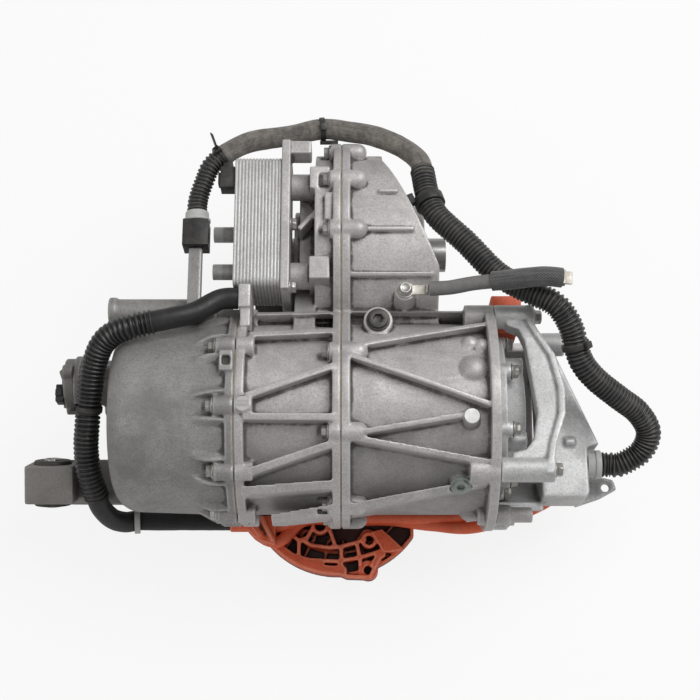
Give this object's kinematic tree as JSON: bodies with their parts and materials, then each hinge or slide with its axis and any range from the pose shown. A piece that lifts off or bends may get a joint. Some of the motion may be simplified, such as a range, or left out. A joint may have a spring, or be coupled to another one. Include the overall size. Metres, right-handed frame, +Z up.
{
  "type": "electric drive unit",
  "caption": "Electric axle drive unit: motor barrel, ribbed two-piece gear case with axle lobe, inverter end, plate oil cooler, corrugated harness and orange high-voltage guard.",
  "frame": {"origin": "on the axle line, at the mouth of the right output socket", "axes": "+X along the motor and axle lines towards the right output, +Y from the motor towards the axle, +Z up"},
  "size_m": [0.7492, 0.5404, 0.3065],
  "materials": {
    "cast_aluminium": "as-cast",
    "motor_aluminium": "as-cast",
    "bright_aluminium": "as-cast",
    "cooler_aluminium": "brazed",
    "steel": "ground",
    "bolt_steel": "zinc plated",
    "core_steel": "laminated",
    "plug_zinc": "passivated zinc",
    "plug_black": "phosphate",
    "copper": "bare",
    "rubber": "matte",
    "seal_bead": "cured",
    "black_plastic": "matte",
    "grey_plastic": "matte",
    "orange_plastic": "matte",
    "orange_jacket": "matte",
    "sleeve_fabric": "woven",
    "braid_fabric": "braided",
    "board": "satin"
  },
  "bodies": {
    "housing": {"left_case": "cast_aluminium", "right_case": "cast_aluminium", "motor_housing": "motor_aluminium", "end_cover": "bright_aluminium", "inverter_housing": "bright_aluminium", "inverter_lid": "bright_aluminium", "mount_bracket": "bright_aluminium", "bush_rubber": "rubber", "bush_sleeve": "steel", "case_seals": "seal_bead", "split_bolts": "bolt_steel", "motor_bolts": "bolt_steel", "cover_bolts": "bolt_steel", "bracket_bolts": "bolt_steel", "fill_plug": "plug_black", "drain_plug": "plug_zinc", "oil_cooler": "cooler_aluminium", "cooler_plate": "cast_aluminium", "cooler_bolts": "bolt_steel", "coolant_spigots": "cooler_aluminium", "oil_filter": "black_plastic", "oil_pump": "cast_aluminium", "pump_motor": "black_plastic", "hv_guard": "orange_plastic", "hv_connector": "orange_plastic", "hv_cables": "orange_jacket", "right_conduit": "black_plastic", "top_sleeve": "sleeve_fabric", "top_conduit": "black_plastic", "left_conduit": "black_plastic", "left_boots": "rubber", "heat_sleeve": "braid_fabric", "conduit_collars": "grey_plastic", "cable_clips": "black_plastic", "guard_bolts": "bolt_steel", "earth_strap": "braid_fabric", "earth_lug": "steel", "earth_bolt": "bolt_steel", "stator_core": "core_steel", "stator_windings": "copper", "rotor_bearings": "steel", "layshaft_bearings": "steel", "axle_bearings": "steel", "output_seals": "rubber", "phase_busbars": "copper", "power_stage": "black_plastic", "control_board": "board"},
    "rotor": {"rotor_core": "core_steel", "rotor_shaft": "steel", "input_pinion": "steel"},
    "layshaft": {"layshaft": "steel", "layshaft_gear": "steel"},
    "differential": {"ring_gear": "steel", "diff_case": "core_steel", "cross_pin": "steel"},
    "left_output": {"left_output": "steel"},
    "right_output": {"right_output": "steel"},
    "spider_front": {"spider_front": "steel"},
    "spider_rear": {"spider_rear": "steel"},
    "pump_rotor": {"pump_rotor": "steel"}
  },
  "joints": [
    {"name": "rotor_spin", "type": "hinge", "parent": "housing", "child": "rotor", "pos_m": [-0.128, -0.22, 0.03], "axis": [1, 0, 0], "continuous": true},
    {"name": "layshaft_spin", "type": "hinge", "parent": "housing", "child": "layshaft", "pos_m": [-0.128, -0.13045, -0.00354], "axis": [1, 0, 0], "continuous": true},
    {"name": "diff_spin", "type": "hinge", "parent": "housing", "child": "differential", "pos_m": [-0.108, 0, 0], "axis": [1, 0, 0], "continuous": true},
    {"name": "left_output_spin", "type": "hinge", "parent": "differential", "child": "left_output", "pos_m": [-0.108, 0, 0], "axis": [1, 0, 0], "continuous": true},
    {"name": "right_output_spin", "type": "hinge", "parent": "differential", "child": "right_output", "pos_m": [-0.108, 0, 0], "axis": [1, 0, 0], "continuous": true},
    {"name": "spider_front_spin", "type": "hinge", "parent": "differential", "child": "spider_front", "pos_m": [-0.108, 0, 0], "axis": [0, 0, 1], "continuous": true},
    {"name": "spider_rear_spin", "type": "hinge", "parent": "differential", "child": "spider_rear", "pos_m": [-0.108, 0, 0], "axis": [0, 0, 1], "continuous": true},
    {"name": "pump_spin", "type": "hinge", "parent": "housing", "child": "pump_rotor", "pos_m": [-0.398, -0.173, 0.022], "axis": [1, 0, 0], "continuous": true}
  ],
  "couplings": [
    {"joint": "layshaft_spin", "follows": "rotor_spin", "ratio": -0.37097},
    {"joint": "diff_spin", "follows": "rotor_spin", "ratio": 0.11074},
    {"joint": "right_output_spin", "follows": "left_output_spin", "ratio": -1},
    {"joint": "spider_front_spin", "follows": "left_output_spin", "ratio": 1.4},
    {"joint": "spider_rear_spin", "follows": "left_output_spin", "ratio": -1.4}
  ]
}
